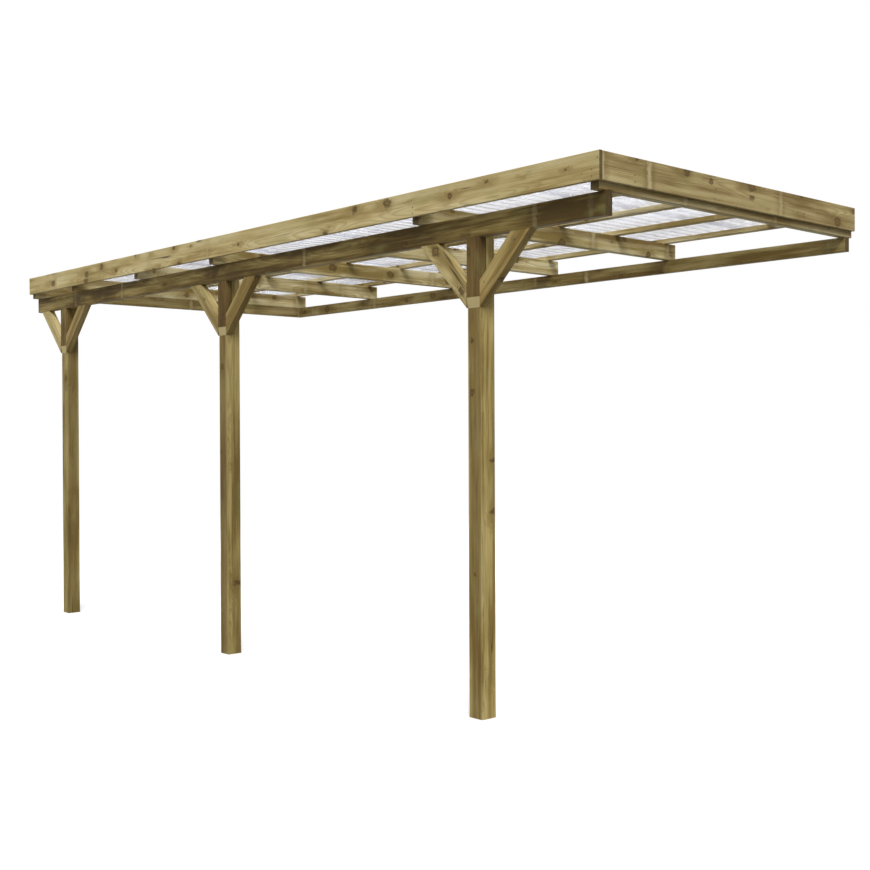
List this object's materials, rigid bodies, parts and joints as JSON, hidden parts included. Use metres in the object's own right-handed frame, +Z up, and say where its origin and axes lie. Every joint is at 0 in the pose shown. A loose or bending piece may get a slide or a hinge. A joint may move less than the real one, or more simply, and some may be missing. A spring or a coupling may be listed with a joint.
{
  "type": "lean-to carport",
  "caption": "Flat-roofed timber carport for the side of a building: braced posts in front, a wall beam behind, rafters, battens and clear corrugated sheets in a board fascia.",
  "frame": {"origin": "centre of the foot of the middle post, on the ground", "axes": "+X along the building toward the end with the longer overhang, +Y from the posts to the wall, +Z up"},
  "size_m": [5.735, 2.08, 2.541],
  "materials": {
    "post_timber": "pressure-treated sawn softwood",
    "head_timber": "pressure-treated sawn softwood",
    "fascia_timber": "pressure-treated sawn softwood",
    "beam_timber": "pressure-treated sawn softwood",
    "rafter_timber": "pressure-treated sawn softwood",
    "batten_timber": "pressure-treated sawn softwood",
    "clear_sheet": "clear corrugated sheet"
  },
  "bodies": {
    "root": {"post_near": "post_timber", "post_middle": "post_timber", "post_far": "post_timber", "head_block_near": "head_timber", "head_block_middle": "head_timber", "head_block_far": "head_timber", "brace_near_a": "head_timber", "brace_near_b": "head_timber", "brace_middle_a": "head_timber", "brace_middle_b": "head_timber", "brace_far_a": "head_timber", "brace_far_b": "head_timber", "front_beam": "beam_timber", "back_beam": "beam_timber", "tie_beam": "beam_timber", "rafter_1": "rafter_timber", "rafter_2": "rafter_timber", "rafter_3": "rafter_timber", "rafter_4": "rafter_timber", "rafter_5": "rafter_timber", "rafter_6": "rafter_timber", "rafter_7": "rafter_timber", "batten_1": "batten_timber", "batten_2": "batten_timber", "batten_3": "batten_timber", "batten_4": "batten_timber", "batten_5": "batten_timber", "fascia_front": "fascia_timber", "fascia_near": "fascia_timber", "fascia_far": "fascia_timber", "roof_sheet_1": "clear_sheet", "roof_sheet_2": "clear_sheet", "roof_sheet_3": "clear_sheet", "roof_sheet_4": "clear_sheet", "roof_sheet_5": "clear_sheet", "roof_sheet_6": "clear_sheet", "roof_sheet_7": "clear_sheet"}
  },
  "joints": []
}
